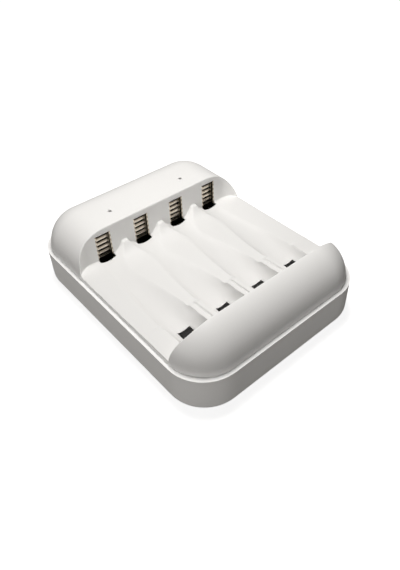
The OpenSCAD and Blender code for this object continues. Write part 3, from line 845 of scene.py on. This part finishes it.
    def _thin(self, piece: bpy.types.Object) -> str:
        """Marks where the wall runs out to an edge, at the outer ends of the two end walls.

        Args:
            piece: the moulding.
        Returns:
            Name of the vertex group that carries the share of the full thickness.
        """
        flat = np.empty(3 * len(piece.data.vertices))
        piece.data.vertices.foreach_get("co", flat)
        x, y, _ = flat.reshape(-1, 3).T / MM
        near = (y < self.front_y + self.thin_run) | (np.abs(y - self.head_y) < self.thin_run)
        thin = near & (np.abs(x) > self.thin_x)
        group = piece.vertex_groups.new(name="thickness")
        group.add(np.flatnonzero(~thin).tolist(), 1.0, "REPLACE")
        group.add(np.flatnonzero(thin).tolist(), self.thin_share, "REPLACE")
        return group.name

    @staticmethod
    def _cut(keep: np.ndarray, x: np.ndarray, centre: float, half: float, first: int, last: int) -> None:
        """Takes a hole about centre, between two rows, out of the mask of cells that is kept."""
        left, right = (int(np.argmin(np.abs(x - centre - s * half))) for s in (-1, 1))
        keep[first:last, left:right] = False

    def _round_hole(self, points: np.ndarray, centre: float, row: int) -> None:
        """Moves the grid about an indicator hole so that the hole is round.

        Formula: squares about the middle become circles of the same half width up to the hole's rim, and
        fade back to squares at twice that.

        Args:
            points: the grid, changed in place.
            centre: the hole's x.
            row: the hole's middle row.
        """
        rows = slice(row - len(self.ring), row + len(self.ring) + 1)
        offset = points[rows, :, :2] - np.array([centre, self.lamp_at[1]])
        square = np.abs(offset).max(axis=-1)
        length = np.maximum(np.linalg.norm(offset, axis=-1), TINY)
        fade = np.clip(2.0 - square / self.lamp_r, 0.0, 1.0)
        growth = fade * (square / length - 1.0)
        near = square < 2.0 * self.lamp_r + TINY
        points[rows, :, :2] += np.where(near, growth, 0.0)[..., None] * offset


@dataclass(frozen=True)
class Lobe:
    """One soft light of the sky.

    Attributes:
        azimuth: degrees from the right towards the back.
        elevation: degrees above the horizon.
        power: sharpness of its edge.
        strength: radiance at its middle.
    """

    azimuth: float
    elevation: float
    power: float
    strength: float

    def toward(self) -> Vector:
        """Direction from the object to the light, of length 1, from the two angles."""
        a, e = math.radians(self.azimuth), math.radians(self.elevation)
        return Vector((math.cos(a) * math.cos(e), math.sin(a) * math.cos(e), math.sin(e)))


@dataclass
class Studio:
    """Camera, floor and light, at the photograph's viewing angle.

    Attributes:
        azimuth: degrees that the camera stands to the right of straight ahead, so negative to the left.
        elevation: degrees above the horizon.
        roll: degrees that the picture leans.
        distance: from the camera to the point it aims at, in metres.
        aim: that point.
        focal: focal length in pixels of the 400 by 570 picture.
        middle: pixel at which the optical axis meets the picture.
        width, height: size of that picture.
        lobes: the sky's lights.
        lamp_at, lamp_size, lamp_power: place and diameter, in metres, of the lamp over the object, and its
            watts.
        warmth: colour of all the light.
        sensor: width of the camera's sensor, in millimetres.
        clip: nearest distance that the camera shows, in metres.
        floor_half: half the floor's side, in metres.
        floor_lit: colour with which the floor lights the object from below.
        floor_shown: colour with which the floor takes the object's shadow.
        glow_near, glow_far: the floor's own brightness about the object and far away.
        glow_from, glow_to: distances from the object between which it grows, in metres.
    """

    azimuth: float = -41.17
    elevation: float = 41.73
    roll: float = -0.80
    distance: float = 0.17470
    aim: Place = (0.00136, -0.01201, 0.01477)
    focal: float = 527.92
    middle: tuple[float, float] = (219.34, 270.74)
    width: int = 400
    height: int = 570
    lobes: tuple[Lobe, ...] = (
        Lobe(azimuth=203.0, elevation=3.0, power=50.0, strength=13.0),
        Lobe(azimuth=315.0, elevation=8.0, power=40.0, strength=2.0),
        Lobe(azimuth=60.0, elevation=25.0, power=8.0, strength=0.8))
    lamp_at: Place = (0.002, 0.004, 0.2)
    lamp_size: float = 0.08
    lamp_power: float = 0.34
    warmth: Colour = (1.0, 0.985, 0.965)
    sensor: float = 36.0
    clip: float = 0.01
    floor_half: float = 2.0
    floor_lit: Colour = (0.30, 0.29, 0.28)
    floor_shown: Colour = (0.62, 0.62, 0.62)
    glow_near: Colour = (0.84, 0.84, 0.84)
    glow_far: Colour = (1.0, 1.0, 1.0)
    glow_from: float = 0.15
    glow_to: float = 0.5

    def camera(self) -> bpy.types.Object:
        """Makes the scene's camera from the fitted angles.

        Returns:
            The camera object.
        """
        a, e, r = (math.radians(v) for v in (self.azimuth, self.elevation, self.roll))
        back = Vector((math.sin(a) * math.cos(e), -math.cos(a) * math.cos(e), math.sin(e)))
        right = (-back).cross(Vector((0, 0, 1))).normalized()
        up = right.cross(-back)
        right, up = (math.cos(r) * right + math.sin(r) * up, math.cos(r) * up - math.sin(r) * right)
        made = bpy.data.cameras.new("camera")
        made.sensor_fit = "HORIZONTAL"
        made.sensor_width = self.sensor
        made.lens = self.focal * self.sensor / self.width
        made.shift_x = (self.width / 2 - self.middle[0]) / self.width
        made.shift_y = (self.middle[1] - self.height / 2) / self.width
        made.clip_start = self.clip
        turn = Matrix((right, up, back)).transposed().to_4x4()
        piece = bpy.data.objects.new("camera", made)
        piece.matrix_world = Matrix.Translation(Vector(self.aim) + back * self.distance) @ turn
        bpy.context.collection.objects.link(piece)
        bpy.context.scene.camera = piece
        return piece

    def floor(self) -> bpy.types.Object:
        """Makes the pale floor, which looks white and keeps the object's shadow.

        Returns:
            The floor object, a square.
        """
        half = self.floor_half
        corners = [(-half, -half, 0), (half, -half, 0), (half, half, 0), (-half, half, 0)]
        mesh = bpy.data.meshes.new("floor")
        mesh.from_pydata(corners, [], [(0, 1, 2, 3)])
        piece = bpy.data.objects.new("floor", mesh)
        bpy.context.collection.objects.link(piece)
        made = bpy.data.materials.new("floor")
        made.use_nodes = True
        graph = Graph(made.node_tree)
        seen = self._seen(graph)
        lit = graph.node("ShaderNodeBsdfDiffuse", {}, {"Color": (*self.floor_lit, 1.0)})
        pale = graph.node("ShaderNodeBsdfDiffuse", {}, {"Color": (*self.floor_shown, 1.0)})
        away = graph.vector(Op.LENGTH, {0: graph.place()})
        stops = ((self.glow_from, self.glow_near), (self.glow_to, self.glow_far))
        paleness = graph.node("ShaderNodeValToRGB", {"stops": stops}, {"Fac": away})
        glow = graph.node("ShaderNodeEmission", {}, {"Color": paleness})
        both = graph.node("ShaderNodeAddShader", {}, {0: pale, 1: glow})
        shader = graph.node("ShaderNodeMixShader", {}, {0: seen, 1: lit, 2: both})
        graph.node("ShaderNodeOutputMaterial", {}, {"Surface": shader})
        mesh.materials.append(made)
        return piece

    @staticmethod
    def _seen(graph: Graph) -> Sock:
        """1 for rays from the camera and through glass.

        Args:
            graph: the graph to add to.
        Returns:
            The mask.
        """
        direct = graph.node("ShaderNodeLightPath", {}, {}, "Is Camera Ray")
        through = graph.node("ShaderNodeLightPath", {}, {}, "Is Transmission Ray")
        return direct.over(through)

    def lamp(self) -> bpy.types.Object:
        """Makes the soft lamp over the object.

        Returns:
            The lamp object, a disk that faces down.
        """
        made = bpy.data.lights.new("lamp", "AREA")
        made.shape = "DISK"
        made.size = self.lamp_size
        made.energy = self.lamp_power
        made.color = self.warmth
        piece = bpy.data.objects.new("lamp", made)
        piece.location = self.lamp_at
        bpy.context.collection.objects.link(piece)
        return piece

    def light(self) -> None:
        """Makes the sky: dark but for soft fills low down, and white to the camera.

        Formula: each fill's radiance is its strength times a power of the cosine to its direction.
        """
        world = bpy.data.worlds.new("sky")
        bpy.context.scene.world = world
        world.use_nodes = True
        graph = Graph(world.node_tree)
        toward = graph.node("ShaderNodeTexCoord", {}, {}, "Generated")
        cosines = (graph.vector(Op.DOT, {0: toward, 1: lobe.toward()}).over(0.0) for lobe in self.lobes)
        strength = sum(lobe.strength * cosine ** lobe.power for lobe, cosine in zip(self.lobes, cosines))
        sky = graph.node("ShaderNodeBackground", {}, {"Color": (*self.warmth, 1.0), "Strength": strength})
        white = graph.node("ShaderNodeBackground", {}, {"Color": (1, 1, 1, 1), "Strength": 1.0})
        path = graph.node("ShaderNodeLightPath", {}, {}, "Is Camera Ray")
        shader = graph.node("ShaderNodeMixShader", {}, {0: path, 1: sky, 2: white})
        graph.node("ShaderNodeOutputWorld", {}, {"Surface": shader})


def main() -> None:
    """Builds the charger's looks in order and reports each piece."""
    logging.basicConfig(level=logging.INFO, format="%(name)s: %(message)s")
    bpy.context.scene.view_settings.view_transform = "Standard"
    studio = Studio()
    for made in (studio.camera(), studio.floor(), studio.lamp()):
        log.info("%s: stands in the studio", made.name)
    studio.light()
    finishes = Finishes()
    finishes.dress_solids()
    cover = TopCover()
    moulding = cover.build()
    cover.dress(moulding, finishes)
    log.info("%s: %d faces", moulding.name, len(moulding.data.polygons))


if __name__ == "__main__":
    main()
